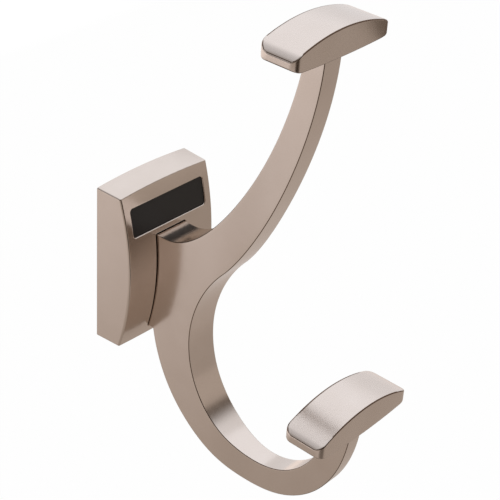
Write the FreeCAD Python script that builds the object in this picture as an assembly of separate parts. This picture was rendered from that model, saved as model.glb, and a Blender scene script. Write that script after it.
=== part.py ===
import FreeCAD, Part
import math
import os

from FreeCAD import Vector

os.makedirs("parts", exist_ok=True)

# A double coat hook for a wall, in millimetres. The wall face is the plane Y = 0, the hook stands out
# along -Y, +Z is up, and X = 0 is the plane of symmetry. The origin is the middle of the plate's back.
# "Out" below means the distance from the wall, which is -Y.

# Base plate
plate_width = 32.0
plate_height = 45.8
plate_depth_at_ends = 8.0
plate_bow = 3.7
plate_crown_back = 0.8
plate_crown_front = 0.4
plate_side_draft = 0.5
plate_end_draft = 0.3
plate_wall = 2.4
plate_edge_radius = 0.5
hollow_depth = 5.0
hollow_corner_radius = 1.0

# Foot of the arms and the pocket that it sits in
foot_top = 9.4
foot_bottom = -20.2
foot_seat_out = 7.0
pocket_clearance = 0.25
pocket_corner_radius = 0.6
pocket_rim_radius = 0.3

# Black inset panel and its recess, above the foot
inset_side_margin = 2.9
inset_above_foot = 1.95
inset_height = 7.65
inset_corner_radius = 0.9
inset_thickness = 1.2
inset_below_face = 0.35
inset_clearance = 0.05
inset_rim_radius = 0.3

# Thickness of the arms across X: at the foot, the spine, the brow, the narrow stretch and both tips
foot_thickness = 10.6
spine_thickness = 9.6
brow_thickness = 8.8
neck_thickness = 6.5
neck_from_brow = 12.3
upper_tip_thickness = 5.9
lower_tip_thickness = 4.5

# Upper arm in side view
saddle_out = 14.0
saddle_reach = 15.15
upper_tip_back_out = 53.25
upper_tip_back_angle = 83.95
upper_tip_back_reach = 31.3
upper_tip_depth = 5.35
upper_tip_front_reach = 25.6
brow_out = 33.7
brow_height = 7.4
brow_angle = 48.3
brow_reach_up = 13.8
brow_reach_down = 10.3

# Lower arm in side view
spine_out = 23.45
spine_height = -18.0
spine_reach_up = 8.2
spine_reach_down = 31.85
lower_tip_back_out = 70.7
lower_tip_back_angle = 82.3
lower_tip_back_reach = 41.6
lower_tip_depth = 5.8
lower_tip_front_angle = 87.5
lower_tip_front_reach = 48.5
heel_out = 10.5
heel_angle = 79.9
heel_reach = 44.2

# Crossbars
bar_corner_radius = 2.4
bar_top_radius = 0.45
bar_bottom_radius = 0.5
tip_depth_in_bar = 1.2
upper_bar_length = 33.2
upper_bar_depth = 11.7
upper_bar_top = 82.7
upper_bar_arch = 3.5
upper_bar_keel = 0.9
upper_bar_height = 7.1
upper_bar_overhang = 2.7
lower_bar_length = 34.8
lower_bar_depth = 12.0
lower_bar_top = -11.5
lower_bar_arch = 4.1
lower_bar_keel = 1.1
lower_bar_height = 8.15
lower_bar_overhang = 2.2

# Machine screws from the hollow into the foot
foot_screw_middle = -1.75
foot_screw_spacing = 11.5
foot_screw_diameter = 4.0
foot_screw_length = 8.0
foot_screw_head_diameter = 7.0
foot_screw_head_height = 2.0
foot_screw_socket = 2.5
foot_screw_socket_depth = 1.3
screw_hole_clearance = 0.25
tapped_hole_spare = 1.0
thread_clearance = 0.05

# Wall bracket, inside the hollow
bracket_thickness = 1.5
bracket_side_clearance = 1.6
bracket_depth_clearance = 0.8
bracket_drop_room = 0.6
bracket_bend_radius = 0.5
wall_hole_diameter = 4.5
wall_hole_spacing = 32.0

# Grub screw through the plate's bottom wall
set_screw_diameter = 3.0
set_screw_length = 3.0
set_screw_from_flange_end = 1.1
set_screw_socket = 1.5
set_screw_socket_depth = 1.5

# How far a cutting solid runs past what it cuts
overrun = 1.0


def point(x, out, height):
    """A point from its distance across, out from the wall and up."""
    return Vector(x, -out, height)


def side_point(out, height):
    """A point in the plane of symmetry."""
    return point(0, out, height)


def side_direction(angle):
    """A unit direction in side view: 0 degrees points out from the wall, 90 degrees up."""
    return Vector(0, -math.cos(math.radians(angle)), math.sin(math.radians(angle)))


def bezier(start, start_direction, start_reach, end, end_direction, end_reach):
    """A cubic curve that leaves start along its direction and arrives at end along that one."""
    curve = Part.BezierCurve()
    handles = [start + start_direction * start_reach, end - end_direction * end_reach]
    curve.setPoles([start] + handles + [end])
    return curve.toShape()


def line(a, b):
    return Part.LineSegment(a, b).toShape()


def arc(a, middle, b):
    return Part.Arc(a, middle, b).toShape()


def edges_where(shape, wanted):
    """The edges whose middle point passes the test."""
    return [e for e in shape.Edges if wanted(e.valueAt((e.FirstParameter + e.LastParameter) / 2))]


def cylinder_between(start, end, diameter):
    axis = end - start
    return Part.makeCylinder(diameter / 2, axis.Length, start, axis)


def hex_prism(start, end, across_flats):
    """A hexagonal prism along the line from start to end."""
    axis = end - start
    corner = across_flats / math.sqrt(3)
    ring = [Vector(corner * math.cos(a), corner * math.sin(a), 0)
            for a in (math.radians(60 * i) for i in range(7))]
    prism = Part.Face(Part.makePolygon(ring)).extrude(Vector(0, 0, axis.Length))
    prism.Placement = FreeCAD.Placement(start, FreeCAD.Rotation(Vector(0, 0, 1), axis))
    return prism


# The bowed front is part of a cylinder across X, through the plate's two ends and its proud middle.
half_height = plate_height / 2
bow_radius = (half_height ** 2 + plate_bow ** 2) / (2 * plate_bow)
bow_centre_out = plate_depth_at_ends + plate_bow - bow_radius


def bowed_space(offset):
    """The space behind the bowed front, moved out by the offset."""
    centre = point(-plate_width, bow_centre_out, 0)
    across = Vector(2 * plate_width, 0, 0)
    return Part.makeCylinder(bow_radius + offset, across.x, centre, across)


def bow_out(height):
    """How far out the bowed front is at a height."""
    return bow_centre_out + math.sqrt(bow_radius ** 2 - height ** 2)


def crowned_outline(half_width, half_tall, crown, out):
    """A rectangle whose top and bottom rise to a crown in the middle."""
    top = [point(x, out, z) for x, z in
           ((-half_width, half_tall), (0, half_tall + crown), (half_width, half_tall))]
    bottom = [Vector(p.x, p.y, -p.z) for p in reversed(top)]
    return Part.Wire([arc(*top), line(top[2], bottom[0]), arc(*bottom), line(bottom[2], top[0])])


def rounded_prism(width, bottom, top, radius, out_from, out_to):
    """A box with rounded corners in front view, from one distance out to another."""
    box = Part.makeBox(width, out_to - out_from, top - bottom, point(-width / 2, out_to, bottom))
    sides = edges_where(box, lambda p: abs(p.y + (out_from + out_to) / 2) < 1e-6)
    return box.makeFillet(radius, sides)


plate_proud_out = plate_depth_at_ends + plate_bow
past_plate_out = plate_proud_out + overrun
hollow_half_width = plate_width / 2 - plate_wall
hollow_half_height = half_height - plate_wall


def plate_block():
    """The plate's outer form before anything is cut into it."""
    back = crowned_outline(plate_width / 2, half_height, plate_crown_back, 0)
    front = crowned_outline(plate_width / 2 - plate_side_draft, half_height - plate_end_draft,
                            plate_crown_front, plate_proud_out)
    block = Part.makeLoft([back, front], True, True)
    block = block.common(bowed_space(0))
    shown = edges_where(block, lambda p: p.y < -0.01)
    return block.makeFillet(plate_edge_radius, shown)


def foot_screw_heights():
    return [foot_screw_middle + side * foot_screw_spacing / 2 for side in (1, -1)]


def pocket_space(out_from, out_to):
    """The foot's seat in the plate, with room all round the foot."""
    return rounded_prism(foot_thickness + 2 * pocket_clearance,
                         foot_bottom - pocket_clearance, foot_top + pocket_clearance,
                         pocket_corner_radius, out_from, out_to)


def inset_space(extra, deepest, highest):
    """The inset's outline pushed through the plate, between two depths below the bowed face."""
    bottom = foot_top + inset_above_foot
    prism = rounded_prism(plate_width - 2 * inset_side_margin + 2 * extra,
                          bottom - extra, bottom + inset_height + extra,
                          inset_corner_radius + extra, overrun, past_plate_out)
    return prism.cut(bowed_space(-deepest)).common(bowed_space(-highest))


def base_plate():
    """The cast plate: hollow behind, with a pocket for the foot and a recess for the inset."""
    plate = plate_block()
    plate = plate.cut(rounded_prism(2 * hollow_half_width, -hollow_half_height, hollow_half_height,
                                    hollow_corner_radius, -overrun, hollow_depth))
    plate = plate.cut(pocket_space(foot_seat_out, past_plate_out))
    rim = edges_where(plate, lambda p: abs(p.y + bow_out(p.z)) < 0.01
                      and abs(p.x) < foot_thickness
                      and foot_bottom - overrun < p.z < foot_top + overrun)
    plate = plate.makeFillet(pocket_rim_radius, rim)
    plate = plate.cut(inset_space(inset_clearance, inset_thickness + inset_below_face, -overrun))
    inset_bottom = foot_top + inset_above_foot
    rim = edges_where(plate, lambda p: abs(p.y + bow_out(p.z)) < 0.01
                      and abs(p.x) < plate_width / 2 - inset_side_margin / 2
                      and inset_bottom - overrun < p.z < inset_bottom + inset_height + overrun)
    plate = plate.makeFillet(inset_rim_radius, rim)
    for height in foot_screw_heights():
        plate = plate.cut(cylinder_between(side_point(hollow_depth - overrun, height),
                                           side_point(foot_seat_out + overrun, height),
                                           foot_screw_diameter + 2 * screw_hole_clearance))
    below_plate = -half_height - plate_crown_back - overrun
    return plate.cut(cylinder_between(side_point(set_screw_out, below_plate),
                                      side_point(set_screw_out, -hollow_half_height + overrun),
                                      set_screw_diameter + 2 * thread_clearance))


def inset_panel():
    return inset_space(0, inset_thickness + inset_below_face, inset_below_face)


upper_arm_height = upper_bar_top - upper_bar_height + tip_depth_in_bar
lower_arm_height = lower_bar_top - lower_bar_height + tip_depth_in_bar
upper_tip_front_out = upper_tip_back_out + upper_tip_depth
lower_tip_front_out = lower_tip_back_out + lower_tip_depth


def arm_outline():
    """The arms in side view: foot, saddle, upper arm, brow, spine and the J of the lower arm."""
    down = side_direction(-90)
    seat_top = side_point(foot_seat_out, foot_top)
    seat_bottom = side_point(foot_seat_out, foot_bottom)
    saddle = side_point(saddle_out, foot_top)
    upper_back = side_point(upper_tip_back_out, upper_arm_height)
    upper_front = side_point(upper_tip_front_out, upper_arm_height)
    brow = side_point(brow_out, brow_height)
    spine = side_point(spine_out, spine_height)
    lower_back = side_point(lower_tip_back_out, lower_arm_height)
    lower_front = side_point(lower_tip_front_out, lower_arm_height)
    heel = side_point(heel_out, foot_bottom)
    brow_down = side_direction(180 + brow_angle)
    lower_front_down = side_direction(180 + lower_tip_front_angle)
    return Part.Wire([
        line(seat_top, saddle),
        bezier(saddle, side_direction(0), saddle_reach,
               upper_back, side_direction(upper_tip_back_angle), upper_tip_back_reach),
        line(upper_back, upper_front),
        bezier(upper_front, down, upper_tip_front_reach, brow, brow_down, brow_reach_up),
        bezier(brow, brow_down, brow_reach_down, spine, down, spine_reach_up),
        bezier(spine, down, spine_reach_down,
               lower_back, side_direction(lower_tip_back_angle), lower_tip_back_reach),
        line(lower_back, lower_front),
        bezier(lower_front, lower_front_down, lower_tip_front_reach,
               heel, side_direction(180 - heel_angle), heel_reach),
        line(heel, seat_bottom),
        line(seat_bottom, seat_top),
    ])


def arm_plan():
    """The arms in plan view: thick at the foot, thinner towards the tips."""
    stations = sorted([
        (foot_seat_out, foot_thickness),
        (heel_out, foot_thickness),
        (spine_out, spine_thickness),
        (brow_out, brow_thickness),
        (brow_out + neck_from_brow, neck_thickness),
        (upper_tip_front_out, upper_tip_thickness),
        (lower_tip_front_out + overrun, lower_tip_thickness),
    ])
    level = lower_arm_height - lower_tip_front_out
    near = Part.BSplineCurve()
    near.interpolate([point(-thickness / 2, out, level) for out, thickness in stations])
    far = Part.BSplineCurve()
    far.interpolate([point(thickness / 2, out, level) for out, thickness in stations])
    seat = line(near.StartPoint, far.StartPoint)
    end = line(near.EndPoint, far.EndPoint)
    outline = Part.Wire(Part.__sortEdges__([near.toShape(), end, far.toShape(), seat]))
    return Part.Face(outline).extrude(Vector(0, 0, upper_bar_top - level))


def crossbar(length, depth, front_out, top, arch, height, keel):
    """A bar across X: arched top, shallow keel underneath, rounded corners and edges."""
    half = length / 2
    end_top = top - arch
    end_bottom = top - height + keel
    left, crest, right = (point(x, front_out, z)
                          for x, z in ((-half, end_top), (0, top), (half, end_top)))
    low_right, lowest, low_left = (point(x, front_out, z)
                                 for x, z in ((half, end_bottom), (0, top - height), (-half, end_bottom)))
    outline = Part.Wire([arc(left, crest, right), line(right, low_right),
                         arc(low_right, lowest, low_left), line(low_left, left)])
    bar = Part.Face(outline).extrude(Vector(0, depth, 0))
    plan = Part.makeBox(length, depth, height, point(-half, front_out, top - height))
    upright = edges_where(plan, lambda p: abs(p.z - top + height / 2) < 0.01)
    bar = bar.common(plan.makeFillet(bar_corner_radius, upright))
    arched_face = max(bar.Faces, key=lambda face: face.BoundBox.ZMax + face.BoundBox.ZMin)
    bar = bar.makeFillet(bar_top_radius, arched_face.Edges)
    keel_face = min(bar.Faces, key=lambda face: face.BoundBox.ZMax + face.BoundBox.ZMin)
    return bar.makeFillet(bar_bottom_radius, keel_face.Edges)


def hook_arms():
    """The whole casting: the blade with a crossbar on each tip."""
    width = foot_thickness + 2 * overrun
    blade = Part.Face(arm_outline()).extrude(Vector(width, 0, 0))
    blade.translate(Vector(-width / 2, 0, 0))
    casting = blade.common(arm_plan()).fuse([
        crossbar(upper_bar_length, upper_bar_depth, upper_tip_front_out + upper_bar_overhang,
                 upper_bar_top, upper_bar_arch, upper_bar_height, upper_bar_keel),
        crossbar(lower_bar_length, lower_bar_depth, lower_tip_front_out + lower_bar_overhang,
                 lower_bar_top, lower_bar_arch, lower_bar_height, lower_bar_keel),
    ])
    hole_end = hollow_depth + foot_screw_length + tapped_hole_spare
    for height in foot_screw_heights():
        casting = casting.cut(cylinder_between(side_point(foot_seat_out - overrun, height),
                                               side_point(hole_end, height),
                                               foot_screw_diameter + 2 * thread_clearance))
    return casting


def foot_screw(height):
    """A pan head machine screw with a hexagon socket, its head on the hollow's floor."""
    under_head = side_point(hollow_depth, height)
    head_top = side_point(hollow_depth - foot_screw_head_height, height)
    head = cylinder_between(head_top, under_head, foot_screw_head_diameter)
    crown = edges_where(head, lambda p: abs(p.y - head_top.y) < 0.01)
    head = head.makeFillet(foot_screw_head_height / 3, crown)
    tip = side_point(hollow_depth + foot_screw_length, height)
    shank = cylinder_between(under_head, tip, foot_screw_diameter)
    end_edge = edges_where(shank, lambda p: abs(p.y - tip.y) < 0.01)
    shank = shank.makeChamfer(foot_screw_diameter / 10, end_edge)
    socket_floor = side_point(hollow_depth - foot_screw_head_height + foot_screw_socket_depth, height)
    return head.fuse(shank).cut(hex_prism(head_top, socket_floor, foot_screw_socket))


bracket_top = hollow_half_height
bracket_bottom = -hollow_half_height + bracket_drop_room
bracket_flange_out = hollow_depth - bracket_depth_clearance
set_screw_out = bracket_flange_out - set_screw_from_flange_end


def wall_bracket():
    """A bent steel plate on the wall. The plate's top wall hangs on its upper flange."""
    width = 2 * (hollow_half_width - bracket_side_clearance)
    bracket = Part.makeBox(width, bracket_flange_out, bracket_top - bracket_bottom,
                           point(-width / 2, bracket_flange_out, bracket_bottom))
    between = bracket_top - bracket_bottom - 2 * bracket_thickness
    bracket = bracket.cut(Part.makeBox(width, bracket_flange_out - bracket_thickness, between,
                                       point(-width / 2, bracket_flange_out,
                                             bracket_bottom + bracket_thickness)))
    for out, radius in ((0, bracket_bend_radius + bracket_thickness),
                        (bracket_thickness, bracket_bend_radius)):
        bends = edges_where(bracket, lambda p: abs(p.x) < 0.01 and abs(p.y + out) < 0.01)
        bracket = bracket.makeFillet(radius, bends)
    for height in (-wall_hole_spacing / 2, wall_hole_spacing / 2):
        bracket = bracket.cut(cylinder_between(side_point(-overrun, height),
                                               side_point(bracket_thickness + overrun, height),
                                               wall_hole_diameter))
    return bracket


def set_screw():
    """A grub screw whose tip bears on the bracket's lower flange."""
    tip = side_point(set_screw_out, bracket_bottom)
    foot = side_point(set_screw_out, bracket_bottom - set_screw_length)
    screw = cylinder_between(foot, tip, set_screw_diameter)
    screw = screw.makeChamfer(set_screw_diameter / 10, edges_where(screw, lambda p: p.z > tip.z - 0.01))
    socket_end = foot + Vector(0, 0, set_screw_socket_depth)
    return screw.cut(hex_prism(foot, socket_end, set_screw_socket))


pieces = {
    "base_plate": base_plate(),
    "inset_panel": inset_panel(),
    "hook_arms": hook_arms(),
    "wall_bracket": wall_bracket(),
    "set_screw": set_screw(),
}
for number, screw_height in enumerate(foot_screw_heights(), 1):
    pieces["foot_screw_%d" % number] = foot_screw(screw_height)

for name, shape in pieces.items():
    box = shape.optimalBoundingBox(False)
    print("%-14s valid %s, %d solid, %.0f mm3, X %.2f to %.2f, Y %.2f to %.2f, Z %.2f to %.2f" % (
        name, shape.isValid(), len(shape.Solids), shape.Volume,
        box.XMin, box.XMax, box.YMin, box.YMax, box.ZMin, box.ZMax))
    shape.exportStep("parts/%s.step" % name)
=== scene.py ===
import math

import bpy
from mathutils import Matrix, Vector
from mathutils.geometry import interpolate_bezier


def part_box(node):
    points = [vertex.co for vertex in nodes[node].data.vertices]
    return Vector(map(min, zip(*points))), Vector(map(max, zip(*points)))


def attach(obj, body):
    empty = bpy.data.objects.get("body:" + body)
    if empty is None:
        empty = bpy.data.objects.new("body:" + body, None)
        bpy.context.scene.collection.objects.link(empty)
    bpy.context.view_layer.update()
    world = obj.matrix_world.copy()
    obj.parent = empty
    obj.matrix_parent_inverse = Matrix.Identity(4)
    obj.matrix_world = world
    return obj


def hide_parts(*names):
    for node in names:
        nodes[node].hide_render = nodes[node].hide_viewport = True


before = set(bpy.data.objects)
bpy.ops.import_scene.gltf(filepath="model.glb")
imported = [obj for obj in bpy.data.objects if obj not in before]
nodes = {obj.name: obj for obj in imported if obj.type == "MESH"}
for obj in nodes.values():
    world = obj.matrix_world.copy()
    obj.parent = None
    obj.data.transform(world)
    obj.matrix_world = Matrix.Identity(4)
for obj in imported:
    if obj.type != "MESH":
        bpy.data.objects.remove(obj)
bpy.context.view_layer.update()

# Base plate: a die-cast zinc plate with a bowed front, a recess for the inset and a pocket for the arms'
# foot. It is ground, plated with nickel and brushed very finely to a satin finish, all over alike. The
# casting is the frame's own, and it slips over the wall bracket.
mm = 0.001


def linear(hex_colour):
    """An sRGB hex colour as linear red, green, blue and alpha."""
    channels = [int(hex_colour[i:i + 2], 16) / 255 for i in (1, 3, 5)]
    return [c / 12.92 if c <= 0.04045 else ((c + 0.055) / 1.055) ** 2.4 for c in channels] + [1.0]


def add_node(tree, kind, settings=None, links=None):
    """Adds a node, sets its inputs or attributes, and links its inputs from (node, output) pairs."""
    node = tree.nodes.new(kind)
    for key, value in (settings or {}).items():
        if isinstance(key, int) or key in node.inputs:
            node.inputs[key].default_value = value
        else:
            setattr(node, key, value)
    for key, (source, output) in (links or {}).items():
        tree.links.new(source.outputs[output], node.inputs[key])
    return node


def new_material(name):
    """An empty node material with its output node."""
    material = bpy.data.materials.new(name)
    material.use_nodes = True
    material.node_tree.nodes.clear()
    output = material.node_tree.nodes.new("ShaderNodeOutputMaterial")
    return material, material.node_tree, output


def satin_nickel(name, smoothest, roughest, darkest, lightest):
    """Satin nickel plating: a warm grey that mirrors the room softly, with a faint cloudy tint.

    The brushing is far too fine to show. It is drawn as a 2 mm change in how soft the reflection is.
    """
    cloud_size = 7
    brushing_size = 2
    material, tree, output = new_material(name)
    place = add_node(tree, "ShaderNodeTexCoord")
    cloud = add_node(tree, "ShaderNodeTexNoise",
                     {"Scale": 1 / (cloud_size * mm), "Detail": 2.0, "Roughness": 0.5},
                     {"Vector": (place, "Object")})
    brushing = add_node(tree, "ShaderNodeTexNoise",
                        {"Scale": 1 / (brushing_size * mm), "Detail": 2.0, "Roughness": 0.5},
                        {"Vector": (place, "Object")})
    tint = add_node(tree, "ShaderNodeMix",
                    {"data_type": "RGBA", 6: linear(darkest), 7: linear(lightest)},
                    {0: (cloud, "Fac")})
    gloss = add_node(tree, "ShaderNodeMapRange",
                     {"From Min": 0.3, "From Max": 0.7, "To Min": smoothest, "To Max": roughest},
                     {"Value": (brushing, "Fac")})
    metal = add_node(tree, "ShaderNodeBsdfPrincipled",
                     {"Metallic": 1.0},
                     {"Base Color": (tint, 2), "Roughness": (gloss, 0)})
    tree.links.new(metal.outputs[0], output.inputs[0])
    return material


def give(piece, material):
    """Puts the material in every slot of the piece."""
    for slot in piece.material_slots:
        slot.material = material


# The plate's copy of the nickel is tinted a little darker than the arms' copy: painted shade.
give(nodes["base_plate"], satin_nickel("satin_nickel_painted_shade_on_plate", 0.16, 0.20, "#cbbeb3", "#d3c6bc"))


# Inset: a thin panel of black ABS, moulded with a matte face. It is glued into the plate's recess, a little
# below the plate's face.
def black_plastic():
    """Black ABS: nearly black and without a shine, from the fine texture of the mould."""
    texture_size = 0.35
    texture_depth = 0.02
    material, tree, output = new_material("matte_black_abs")
    place = add_node(tree, "ShaderNodeTexCoord")
    grain = add_node(tree, "ShaderNodeTexNoise",
                     {"Scale": 1 / (texture_size * mm), "Detail": 2.0},
                     {"Vector": (place, "Object")})
    tint = add_node(tree, "ShaderNodeMix",
                    {"data_type": "RGBA", 6: linear("#211e1b"), 7: linear("#252220")},
                    {0: (grain, "Fac")})
    bump = add_node(tree, "ShaderNodeBump",
                    {"Strength": 0.3, "Distance": texture_depth * mm},
                    {"Height": (grain, "Fac")})
    plastic = add_node(tree, "ShaderNodeBsdfPrincipled",
                       {"Roughness": 0.55, "IOR": 1.5},
                       {"Base Color": (tint, 2), "Normal": (bump, 0)})
    tree.links.new(plastic.outputs[0], output.inputs[0])
    return material


give(nodes["inset_panel"], black_plastic())


# Arms: one zinc casting, a blade bent into the upper arm and the J of the lower arm, with a crossbar
# across each tip. The polishing eases its edges, and the narrow faces along them are painted dark brown:
# a painted dark reflection that reads as fine brown lines. Two screws from behind hold its foot in the
# plate's pocket.
foot_top = 9.4
foot_bottom = -20.2
foot_seat_out = 7.0
tip_depth_in_bar = 1.2
arms_low, arms_high = (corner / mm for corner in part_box("hook_arms"))

# A bar's front is its distance from the wall. Its top bows up by the arch and its underside by the keel.
# The corners are rounded seen from above. A shoulder is the length and drop of the roll-off on top of both
# ends, and a heel is the radius, length and rise of the one below the left (-1) or the right (1) end.
upper_bar = {"length": 33.2, "depth": 11.7, "front": 61.3, "top": arms_high.z, "arch": 3.15, "height": 7.1,
             "keel": 0.5, "front_corner": 2.0, "back_corner": 3.6, "shoulder": (2.4, 0.9),
             "heels": {-1: (0.4, 2.8, 0.7), 1: (1.1, 3.2, 0.6)}}
lower_bar = {"length": arms_high.x - arms_low.x, "depth": 12.0, "front": -arms_low.y, "top": -11.5,
             "arch": 4.1, "height": 8.15, "keel": 1.0, "front_corner": 2.2, "back_corner": 2.8,
             "shoulder": (1.5, 0.3), "heels": {-1: (0.4, 3.0, 0.5), 1: (0.8, 3.0, 0.5)}}
upper_tip_height = upper_bar["top"] - upper_bar["height"] + tip_depth_in_bar
lower_tip_height = lower_bar["top"] - lower_bar["height"] + tip_depth_in_bar


def direction(angle):
    """A unit direction in side view: 0 degrees points out from the wall, 90 degrees up."""
    return Vector((math.cos(math.radians(angle)), math.sin(math.radians(angle))))


curve_points = 400


def curve(start, start_angle, start_reach, end, end_angle, end_reach):
    """Points of a cubic curve from start to end that leaves and arrives at the two angles."""
    first_handle = Vector(start) + direction(start_angle) * start_reach
    last_handle = Vector(end) - direction(end_angle) * end_reach
    ends = [Vector(start), first_handle, last_handle, Vector(end)]
    return interpolate_bezier(*[v.to_3d() for v in ends], curve_points)


def evenly(points, count):
    """The same line with count equal steps."""
    points = [Vector(p).to_2d() for p in points]
    lengths = [0.0]
    for a, b in zip(points, points[1:]):
        lengths.append(lengths[-1] + (b - a).length)
    result = []
    at = 0
    for step in range(count + 1):
        wanted = lengths[-1] * step / count
        while at < len(points) - 2 and lengths[at + 1] < wanted:
            at += 1
        span = lengths[at + 1] - lengths[at]
        result.append(points[at].lerp(points[at + 1], (wanted - lengths[at]) / span))
    return result


def joined(*runs):
    """Runs of points end to end, each shared point once."""
    return [p for run in runs[:-1] for p in run[:-1]] + list(runs[-1])


upper_back = (53.25, upper_tip_height)
upper_back_angle = 83.95
upper_back_reach = 31.3
upper_front = (58.6, upper_tip_height)
upper_front_reach = 25.6
saddle = (14.0, foot_top)
saddle_reach = 15.15
brow = (33.7, 7.4)
brow_angle = 48.3
brow_reach_up = 13.8
brow_reach_down = 10.3
spine = (23.45, -18.0)
spine_reach_up = 8.2
spine_reach_down = 31.85
heel = (10.5, foot_bottom)
heel_angle = -79.9
heel_reach = 44.2
lower_front = (76.5, lower_tip_height)
lower_front_angle = 87.5
lower_front_reach = 48.5
lower_back = (70.7, lower_tip_height)
lower_back_angle = 82.3
lower_back_reach = 41.6
seat_top = (foot_seat_out, foot_top)
seat_bottom = (foot_seat_out, foot_bottom)

# Both rails have the same number of steps, so that each step of one lies across from a step of the other.
upper_steps = 64
saddle_steps = 4
seat_steps = 20
heel_steps = 2
lower_steps = 96
outer_rail = joined(
    evenly(curve(upper_back, 180 + upper_back_angle, upper_back_reach, saddle, 180, saddle_reach),
           upper_steps),
    evenly([saddle, seat_top], saddle_steps),
    evenly([seat_top, seat_bottom], seat_steps),
    evenly([seat_bottom, heel], heel_steps),
    evenly(curve(heel, heel_angle, heel_reach, lower_front, lower_front_angle, lower_front_reach),
           lower_steps),
)
inner_rail = joined(
    evenly(curve(upper_front, -90, upper_front_reach, brow, 180 + brow_angle, brow_reach_up), upper_steps),
    evenly(curve(brow, 180 + brow_angle, brow_reach_down, spine, -90, spine_reach_up),
           saddle_steps + seat_steps + heel_steps),
    evenly(curve(spine, -90, spine_reach_down, lower_back, lower_back_angle, lower_back_reach),
           lower_steps),
)

# The blade's thickness at distances from the wall.
thickness_stations = [(7.0, 10.6), (10.5, 10.6), (23.45, 9.6), (33.7, 8.8), (46.0, 6.5), (58.6, 5.9),
                      (77.5, 4.5)]


def thickness(out):
    """How thick the blade is at a distance from the wall: a smooth line through the stations."""
    stations = thickness_stations
    last = len(stations) - 1
    slopes = []
    for i in range(last + 1):
        (before, thick_before), (after, thick_after) = stations[max(i - 1, 0)], stations[min(i + 1, last)]
        slopes.append((thick_after - thick_before) / (after - before))
    i = max(i for i in range(last) if i == 0 or stations[i][0] <= out)
    (a, thick_a), (b, thick_b) = stations[i], stations[i + 1]
    t = (out - a) / (b - a)
    return (thick_a * (2 * t ** 3 - 3 * t ** 2 + 1) + thick_b * (3 * t ** 2 - 2 * t ** 3)
            + (b - a) * (slopes[i] * (t ** 3 - 2 * t ** 2 + t) + slopes[i + 1] * (t ** 3 - t ** 2)))


def deselect_everything():
    if bpy.context.object and bpy.context.object.mode != "OBJECT":
        bpy.ops.object.mode_set(mode="OBJECT")
    bpy.ops.object.select_all(action="DESELECT")


def make_active(piece):
    deselect_everything()
    piece.select_set(True)
    bpy.context.view_layer.objects.active = piece


def painted_edge_reflection():
    """The same plating, painted dark brown on the narrow faces along the sharp edges: a painted dark
    reflection, which reads as fine dark brown lines.
    """
    material, tree, output = new_material("nickel_painted_edge_reflection")
    metal = add_node(tree, "ShaderNodeBsdfPrincipled",
                     {"Metallic": 1.0, "Base Color": linear("#6a5648"), "Roughness": 0.3})
    tree.links.new(metal.outputs[0], output.inputs[0])
    return material


nickel = satin_nickel("satin_nickel_on_arms", 0.16, 0.20, "#d1c4ba", "#d9cdc4")
painted_edge_nickel = painted_edge_reflection()
softer_nickel = satin_nickel("satin_nickel_on_bars", 0.26, 0.28, "#d1c4ba", "#d9cdc4")
arm_finishes = (nickel, painted_edge_nickel, softer_nickel)
on_edges = arm_finishes.index(painted_edge_nickel)
on_bars = arm_finishes.index(softer_nickel)

blade_edge_radius = 0.36
blade_edge_segments = 4
sharp_edge_angle = 50
across_steps = 8

# Any width will do for the extrusion: the blade's own thickness is set right after it.
first_width = 20


def arm_blade():
    """A grid laid between the two rails, extruded across, with its long edges rounded."""
    steps = len(outer_rail) - 1
    deselect_everything()
    bpy.ops.mesh.primitive_grid_add(x_subdivisions=steps, y_subdivisions=across_steps, size=1)
    blade = bpy.context.object
    blade.name = "arm_blade"
    for vertex in blade.data.vertices:
        rung = round((vertex.co.x + 0.5) * steps)
        place = outer_rail[rung].lerp(inner_rail[rung], vertex.co.y + 0.5)
        vertex.co = Vector((-thickness(place.x) / 2, -place.x, place.y)) * mm
    bpy.ops.object.mode_set(mode="EDIT")
    bpy.ops.mesh.select_all(action="SELECT")
    bpy.ops.mesh.extrude_region_move(TRANSFORM_OT_translate={"value": (first_width * mm, 0, 0)})
    bpy.ops.object.mode_set(mode="OBJECT")
    for vertex in blade.data.vertices:
        if vertex.co.x > 0:
            vertex.co.x = thickness(-vertex.co.y / mm) / 2 * mm
    bpy.ops.object.mode_set(mode="EDIT")
    bpy.ops.mesh.select_all(action="SELECT")
    bpy.ops.mesh.normals_make_consistent(inside=False)
    bpy.ops.object.mode_set(mode="OBJECT")
    edges = blade.modifiers.new("eased_edges", "BEVEL")
    edges.limit_method = "ANGLE"
    edges.angle_limit = math.radians(sharp_edge_angle)
    edges.width = blade_edge_radius * mm
    edges.segments = blade_edge_segments
    bpy.ops.object.modifier_apply(modifier=edges.name)
    for material in arm_finishes:
        blade.data.materials.append(material)
    # The narrow faces of the eased edges take the painted dark reflection.
    for face in blade.data.polygons:
        if 0.4 < abs(face.normal.x) < 0.9:
            face.material_index = on_edges
    return blade


bar_edge_radius = 0.4
back_edge_radius = 0.7
bar_edge_steps = 5
corner_step_angle = 5
stations_to_corner = 16
smooth_angle = 32


def eased(distance, radius):
    """How far a rounded corner falls back at a distance from the face where it ends."""
    short = min(max(0.0, radius - distance), radius)
    return radius - math.sqrt(radius ** 2 - short ** 2)


def rolled(distance, length, drop):
    """How far a soft roll-off falls at a distance from the end where it is deepest."""
    return drop * max(0.0, 1 - distance / length) ** 2


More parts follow.
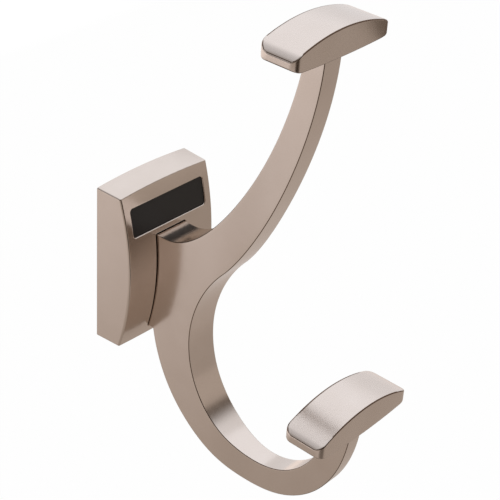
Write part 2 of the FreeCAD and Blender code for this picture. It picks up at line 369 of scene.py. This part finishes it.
def bar_section(x, length, depth, front, top, arch, height, keel, front_corner, back_corner,
                shoulder, heels):
    """The ring of a crossbar's section at x, with four eased corners."""
    half = length / 2
    from_end = half - abs(x)
    arch_radius = (half ** 2 + arch ** 2) / (2 * arch)
    keel_radius = (half ** 2 + keel ** 2) / (2 * keel)
    high = (top - arch_radius + math.sqrt(arch_radius ** 2 - x ** 2) - rolled(from_end, *shoulder)
            - eased(from_end, bar_edge_radius))
    heel_radius, heel_length, heel_rise = heels[1 if x > 0 else -1]
    low = (top - height + keel_radius - math.sqrt(keel_radius ** 2 - x ** 2)
           + rolled(from_end, heel_length, heel_rise) + eased(from_end, heel_radius))
    near = front - eased(from_end, front_corner)
    far = front - depth + eased(from_end, back_corner)
    front_edge = min(bar_edge_radius, 0.45 * (high - low))
    back_edge = min(back_edge_radius, 0.45 * (high - low))
    ring = []
    for out, level, first_angle, radius in (
            (near - front_edge, low + front_edge, -90, front_edge),
            (near - front_edge, high - front_edge, 0, front_edge),
            (far + back_edge, high - back_edge, 90, back_edge),
            (far + back_edge, low + back_edge, 180, back_edge)):
        for step in range(bar_edge_steps + 1):
            angle = math.radians(first_angle + 90 * step / bar_edge_steps)
            ring.append(Vector((x, -out - radius * math.cos(angle), level + radius * math.sin(angle))) * mm)
    return ring


def on_edge_strip(normal, end_line):
    """True for the narrow faces along a bar's long edges, its lower edges and the edges of its ends.

    The limits are parts of the face's unit normal, with 1 for straight across, out or up.
    """
    x, y, z = normal
    along_top = z > 0.3 and abs(x) < 0.3 and (y > 0.1 or y < -0.4)
    along_bottom = -0.9 < z < -0.35
    across_end = abs(x) >= 0.3 and 0.4 < z < (0.7 if y > 0.2 else end_line)
    return along_top or along_bottom or across_end


def crossbar(name, end_line, **form):
    """A ring of the section at one end, extruded station by station to the other and closed.

    The end line says how steep the faces at the ends may be and still count as part of an edge.
    """
    half = form["length"] / 2
    corner = form["back_corner"]
    ends = [half - corner * (1 - math.sin(math.radians(a))) for a in range(0, 91, corner_step_angle)]
    middle = [(half - corner) * i / stations_to_corner for i in range(stations_to_corner)]
    stations = sorted({round(sign * x, 4) for x in ends + middle for sign in (1, -1)})
    first = bar_section(stations[0], **form)
    deselect_everything()
    bpy.ops.mesh.primitive_circle_add(vertices=len(first), radius=1 * mm, fill_type="NGON")
    bar = bpy.context.object
    bar.name = name
    for vertex, place in zip(bar.data.vertices, first):
        vertex.co = place
    for x in stations[1:]:
        bpy.ops.object.mode_set(mode="EDIT")
        bpy.ops.mesh.extrude_region_move()
        bpy.ops.object.mode_set(mode="OBJECT")
        lifted = [vertex for vertex in bar.data.vertices if vertex.select]
        for vertex, place in zip(lifted, bar_section(x, **form)):
            vertex.co = place
    bpy.ops.object.mode_set(mode="EDIT")
    bpy.ops.mesh.select_all(action="SELECT")
    bpy.ops.mesh.normals_make_consistent(inside=False)
    bpy.ops.object.mode_set(mode="OBJECT")
    for material in arm_finishes:
        bar.data.materials.append(material)
    # The edge strips take the painted dark reflection, the other faces the bars' nickel.
    for face in bar.data.polygons:
        face.material_index = on_edges if on_edge_strip(face.normal, end_line) else on_bars
    return bar


arms = arm_blade()
for bar in (crossbar("upper_bar", 0.5, **upper_bar), crossbar("lower_bar", 0.55, **lower_bar)):
    make_active(arms)
    union = arms.modifiers.new("cast_in_one", "BOOLEAN")
    union.operation = "UNION"
    union.solver = "EXACT"
    union.object = bar
    bpy.ops.object.modifier_apply(modifier=union.name)
    bpy.data.objects.remove(bar)
arms.name = "plated_arms"
make_active(arms)
bpy.ops.object.shade_smooth_by_angle(angle=math.radians(smooth_angle))
weights = arms.modifiers.new("flat_sides", "WEIGHTED_NORMAL")
weights.keep_sharp = True
bpy.ops.object.modifier_apply(modifier=weights.name)
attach(arms, "root")
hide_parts("hook_arms")


# Wall bracket, grub screw and the two machine screws: pressed and turned steel, plated with zinc. They sit
# in the hollow behind the plate and are seen only from behind or below. The bracket is screwed to the wall.
def zinc_plating():
    """Bright zinc plating: cool grey with the faint mottle of its crystals, drawn coarse enough to show."""
    crystal_size = 0.9
    material, tree, output = new_material("bright_zinc_plating")
    place = add_node(tree, "ShaderNodeTexCoord")
    crystals = add_node(tree, "ShaderNodeTexVoronoi",
                        {"Scale": 1 / (crystal_size * mm)},
                        {"Vector": (place, "Object")})
    tint = add_node(tree, "ShaderNodeMix",
                    {"data_type": "RGBA", 6: linear("#b4b6b8"), 7: linear("#c6c8ca")},
                    {0: (crystals, "Distance")})
    gloss = add_node(tree, "ShaderNodeMapRange",
                     {"To Min": 0.3, "To Max": 0.42},
                     {"Value": (crystals, "Distance")})
    metal = add_node(tree, "ShaderNodeBsdfPrincipled",
                     {"Metallic": 1.0},
                     {"Base Color": (tint, 2), "Roughness": (gloss, 0)})
    tree.links.new(metal.outputs[0], output.inputs[0])
    return material


zinc = zinc_plating()
for name in ("wall_bracket", "set_screw", "foot_screw_1", "foot_screw_2"):
    give(nodes[name], zinc)


# Floor: a sheet of pale paper well below the hook. To the camera it is plain white. The metal sees it dimmer
# and warmer towards the front and right under the hook, as it lies in the room's own shade there.
floor_below = 300
floor_size = 6000
deselect_everything()
bpy.ops.mesh.primitive_grid_add(x_subdivisions=2, y_subdivisions=2, size=floor_size * mm,
                                location=(0, 0, -floor_below * mm))
floor = bpy.context.object
floor.name = "floor"
bpy.ops.object.transform_apply(location=True, rotation=True, scale=True)


def pale_floor():
    """Pale matte paper: white to the camera, and graded in what the metal mirrors."""
    shaded_spot = (-150 * mm, 0, -floor_below * mm)
    lit_patch = (-400 * mm, -330 * mm, -floor_below * mm)
    material, tree, output = new_material("pale_paper")
    rays = add_node(tree, "ShaderNodeLightPath")
    place = add_node(tree, "ShaderNodeTexCoord")
    behind = add_node(tree, "ShaderNodeVectorMath", {"operation": "DOT_PRODUCT", 1: (0.0, 1.0, 0.0)},
                      {0: (place, "Object")})
    share_behind = add_node(tree, "ShaderNodeMapRange", {"From Min": -450 * mm, "From Max": 800 * mm},
                            {"Value": (behind, "Value")})
    bent = add_node(tree, "ShaderNodeMath", {"operation": "POWER", 1: 1.7}, {0: (share_behind, 0)})
    lit = add_node(tree, "ShaderNodeMapRange", {"To Min": 0.45, "To Max": 1.12}, {"Value": (bent, 0)})
    from_spot = add_node(tree, "ShaderNodeVectorMath",
                         {"operation": "DISTANCE", 1: shaded_spot},
                         {0: (place, "Object")})
    spot = add_node(tree, "ShaderNodeMapRange",
                    {"From Min": 150 * mm, "From Max": 420 * mm, "To Min": 0.78, "To Max": 1.04},
                    {"Value": (from_spot, "Value")})
    from_patch = add_node(tree, "ShaderNodeVectorMath",
                          {"operation": "DISTANCE", 1: lit_patch},
                          {0: (place, "Object")})
    patch = add_node(tree, "ShaderNodeMapRange",
                     {"From Min": 100 * mm, "From Max": 420 * mm, "To Min": 1.4, "To Max": 1.0},
                     {"Value": (from_patch, "Value")})
    evened = add_node(tree, "ShaderNodeMath", {"operation": "MULTIPLY"}, {0: (lit, 0), 1: (spot, 0)})
    strength = add_node(tree, "ShaderNodeMath", {"operation": "MULTIPLY"}, {0: (evened, 0), 1: (patch, 0)})
    warmth = add_node(tree, "ShaderNodeMapRange",
                      {"From Min": 0.5, "From Max": 0.75},
                      {"Value": (strength, 0)})
    hue = add_node(tree, "ShaderNodeMix",
                   {"data_type": "RGBA", 6: linear("#fff0e4"), 7: linear("#fff6f2")},
                   {0: (warmth, 0)})
    matte = add_node(tree, "ShaderNodeBsdfDiffuse", {"Color": linear("#e8e4e0")})
    level = add_node(tree, "ShaderNodeMath", {"operation": "MAXIMUM"},
                     {0: (strength, 0), 1: (rays, "Is Camera Ray")})
    clean = add_node(tree, "ShaderNodeMix", {"data_type": "RGBA", 7: (1, 1, 1, 1)},
                     {0: (rays, "Is Camera Ray"), 6: (hue, 2)})
    glow = add_node(tree, "ShaderNodeEmission", None, {"Color": (clean, 2), "Strength": (level, 0)})
    seen_or_mirrored = add_node(tree, "ShaderNodeMath", {"operation": "ADD"},
                                {0: (rays, "Is Camera Ray"), 1: (rays, "Is Glossy Ray")})
    seen = add_node(tree, "ShaderNodeMath", {"operation": "ADD", "use_clamp": True},
                    {0: (seen_or_mirrored, 0), 1: (rays, "Is Transmission Ray")})
    share = add_node(tree, "ShaderNodeMath", {"operation": "MULTIPLY", 1: 0.98}, {0: (seen, 0)})
    paper = add_node(tree, "ShaderNodeMixShader", None, {0: (share, 0), 1: (matte, 0), 2: (glow, 0)})
    tree.links.new(paper.outputs[0], output.inputs[0])
    return material


floor.data.materials.append(pale_floor())

# Room: white to the camera. The metal mirrors a bright canopy above and behind, greyer at the left, a grey
# wall low on the right and a darker band between the two, where the room has no lamp.
world = bpy.data.worlds.new("studio")
bpy.context.scene.world = world
world.use_nodes = True
tree = world.node_tree
tree.nodes.clear()
rays = add_node(tree, "ShaderNodeLightPath")
place = add_node(tree, "ShaderNodeTexCoord")
canopy_side = add_node(tree, "ShaderNodeVectorMath", {"operation": "DOT_PRODUCT", 1: (0.3, 0.95, 1.0)},
                       {0: (place, "Generated")})
canopy = add_node(tree, "ShaderNodeMapRange",
                  {"interpolation_type": "SMOOTHSTEP", "From Min": 0.05, "From Max": 0.5},
                  {"Value": (canopy_side, "Value")})
right_side = add_node(tree, "ShaderNodeVectorMath", {"operation": "DOT_PRODUCT", 1: (0.6, -0.8, 0.0)},
                      {0: (place, "Generated")})
right = add_node(tree, "ShaderNodeMapRange",
                 {"interpolation_type": "SMOOTHSTEP", "From Min": 0.3, "From Max": 0.7},
                 {"Value": (right_side, "Value")})
ray = add_node(tree, "ShaderNodeSeparateXYZ", None, {0: (place, "Generated")})
low = add_node(tree, "ShaderNodeMapRange",
               {"interpolation_type": "SMOOTHSTEP", "From Min": 0.46, "From Max": 0.36},
               {"Value": (ray, "Z")})
wall = add_node(tree, "ShaderNodeMath", {"operation": "MULTIPLY"}, {0: (right, 0), 1: (low, 0)})
front = add_node(tree, "ShaderNodeMix",
                 {"data_type": "RGBA", 6: linear("#6d635b"), 7: linear("#c4b9b0")},
                 {0: (wall, 0)})
left = add_node(tree, "ShaderNodeMapRange",
                {"interpolation_type": "SMOOTHSTEP", "From Min": 0.12, "From Max": -0.35,
                 "To Min": 1.0, "To Max": 0.4},
                {"Value": (ray, "X")})
sky = add_node(tree, "ShaderNodeMath", {"operation": "MULTIPLY"}, {0: (canopy, 0), 1: (left, 0)})
shade = add_node(tree, "ShaderNodeMix",
                 {"data_type": "RGBA", 7: linear("#f8faff")},
                 {0: (sky, 0), 6: (front, 2)})
white = add_node(tree, "ShaderNodeBackground", {"Color": (1, 1, 1, 1), "Strength": 1.0})
room = add_node(tree, "ShaderNodeBackground", {"Strength": 1.0}, {"Color": (shade, 2)})
world_mix = add_node(tree, "ShaderNodeMixShader", None,
                     {0: (rays, "Is Camera Ray"), 1: (room, 0), 2: (white, 0)})
add_node(tree, "ShaderNodeOutputWorld", None, {0: (world_mix, 0)})


# Overhead lamp: one large soft box above and a little behind the hook, slightly cool. It lights the tops of
# the plate and the bars. All the other light comes from the room and the paper.
def softbox(name, towards, distance, size, radiance, colour):
    """A square soft lamp in a direction from the hook, aimed back at it."""
    lamp = bpy.data.lights.new(name, "AREA")
    lamp.size = size * mm
    lamp.energy = radiance * math.pi * (size * mm) ** 2
    lamp.color = linear(colour)[:3]
    stand = bpy.data.objects.new(name, lamp)
    bpy.context.scene.collection.objects.link(stand)
    stand.location = Vector(towards).normalized() * distance * mm
    stand.rotation_euler = (-stand.location).to_track_quat("-Z", "Y").to_euler()
    stand.visible_camera = False


softbox("top_softbox", towards=(0.2, 0.3, 0.93), distance=900, size=1600, radiance=0.28,
        colour="#e6f1ff")

# Dark gap: the unlit side of the room in front, past the camera's right. Only the metal sees it, and it
# gives the bars' front left corners their dark line.
gap_distance = 300
gap_width = 340
gap_height = 600
gap_side = Vector((-0.2, -0.98, 0.0))
deselect_everything()
bpy.ops.mesh.primitive_plane_add(size=1)
gap = bpy.context.object
gap.name = "dark_gap"
across = Vector((-gap_side.y, gap_side.x, 0.0))
for vertex in gap.data.vertices:
    vertex.co = (gap_side * gap_distance + across * vertex.co.x * gap_width
                 + Vector((0, 0, 1)) * vertex.co.y * gap_height) * mm


def painted_room_shade():
    """A dark brown glow standing for the unlit side of the room: painted shade. It thins out to both sides
    and towards the floor, so no edge shows.
    """
    material, tree, output = new_material("painted_room_shade")
    place = add_node(tree, "ShaderNodeTexCoord")
    aside = add_node(tree, "ShaderNodeVectorMath",
                     {"operation": "DOT_PRODUCT", 1: across / mm / gap_width * 2},
                     {0: (place, "Object")})
    distance = add_node(tree, "ShaderNodeMath", {"operation": "ABSOLUTE"}, {0: (aside, "Value")})
    thin = add_node(tree, "ShaderNodeMapRange",
                    {"interpolation_type": "SMOOTHSTEP", "From Min": 0.35, "From Max": 1.0},
                    {"Value": (distance, 0)})
    level = add_node(tree, "ShaderNodeSeparateXYZ", None, {0: (place, "Object")})
    low_part = add_node(tree, "ShaderNodeMapRange",
                        {"From Min": -130 * mm, "From Max": -260 * mm, "To Max": 0.6},
                        {"Value": (level, "Z")})
    thinnest = add_node(tree, "ShaderNodeMath", {"operation": "MAXIMUM"}, {0: (thin, 0), 1: (low_part, 0)})
    shade_glow = add_node(tree, "ShaderNodeEmission", {"Color": linear("#40362d"), "Strength": 1.0})
    clear = add_node(tree, "ShaderNodeBsdfTransparent")
    sheet = add_node(tree, "ShaderNodeMixShader", None, {0: (thinnest, 0), 1: (shade_glow, 0), 2: (clear, 0)})
    tree.links.new(sheet.outputs[0], output.inputs[0])
    return material


gap.data.materials.append(painted_room_shade())
gap.visible_camera = False
gap.visible_diffuse = False
gap.visible_shadow = False

# Flag: a small sheet glowing dark grey, close to the upper bar and out of the camera's sight. The bar's
# front mirrors it at its right end, and so it darkens there: a painted dark reflection.
mirrored_ray = Vector((0.65, -0.54, -0.53))
flag_distance = 14
flag_shift = 7.5
flag_width = 16
flag_height = 18
flag_across = (Vector((1, 0, 0)) - mirrored_ray * mirrored_ray.x).normalized()
flag_up = mirrored_ray.cross(flag_across)
bar_end = Vector((upper_bar["length"] / 2, -upper_bar["front"], upper_bar["top"] - upper_bar["height"]))
flag_place = bar_end + mirrored_ray * flag_distance + flag_across * flag_shift
deselect_everything()
bpy.ops.mesh.primitive_plane_add(size=1)
flag = bpy.context.object
flag.name = "shade_flag_sheet"
for vertex in flag.data.vertices:
    vertex.co = (flag_place + flag_across * vertex.co.x * flag_width
                 + flag_up * vertex.co.y * flag_height) * mm


def painted_flag_shade():
    """A dark grey glow, which the bar mirrors as a painted dark reflection."""
    material, tree, output = new_material("painted_flag_shade")
    shade_glow = add_node(tree, "ShaderNodeEmission", {"Color": linear("#6f645a"), "Strength": 1.0})
    tree.links.new(shade_glow.outputs[0], output.inputs[0])
    return material


flag.data.materials.append(painted_flag_shade())
flag.visible_camera = False
flag.visible_diffuse = False
flag.visible_shadow = False

# Camera: a long lens to the left of the hook and above it, with a slight tilt. Its place and its turn come
# from the plate's straight edges.
camera_place = Vector((-234.512, -233.955, 206.461)) * mm
camera_heading = 39.830
camera_dip = 32.070
camera_roll = 3.850
focal_pixels = 1448
frame_pixels = 500
sensor = 36.0
lens = bpy.data.cameras.new("camera")
lens.sensor_width = sensor
lens.lens = focal_pixels / frame_pixels * sensor
camera = bpy.data.objects.new("camera", lens)
bpy.context.scene.collection.objects.link(camera)
heading = math.radians(camera_heading)
dip = math.radians(camera_dip)
forward = Vector((math.cos(heading) * math.cos(dip), math.sin(heading) * math.cos(dip), -math.sin(dip)))
turn = forward.to_track_quat("-Z", "Y") @ Matrix.Rotation(math.radians(camera_roll), 4, "Z").to_quaternion()
camera.location = camera_place
camera.rotation_euler = turn.to_euler()
bpy.context.scene.camera = camera
bpy.context.scene.view_settings.view_transform = "Standard"
bpy.context.view_layer.update()
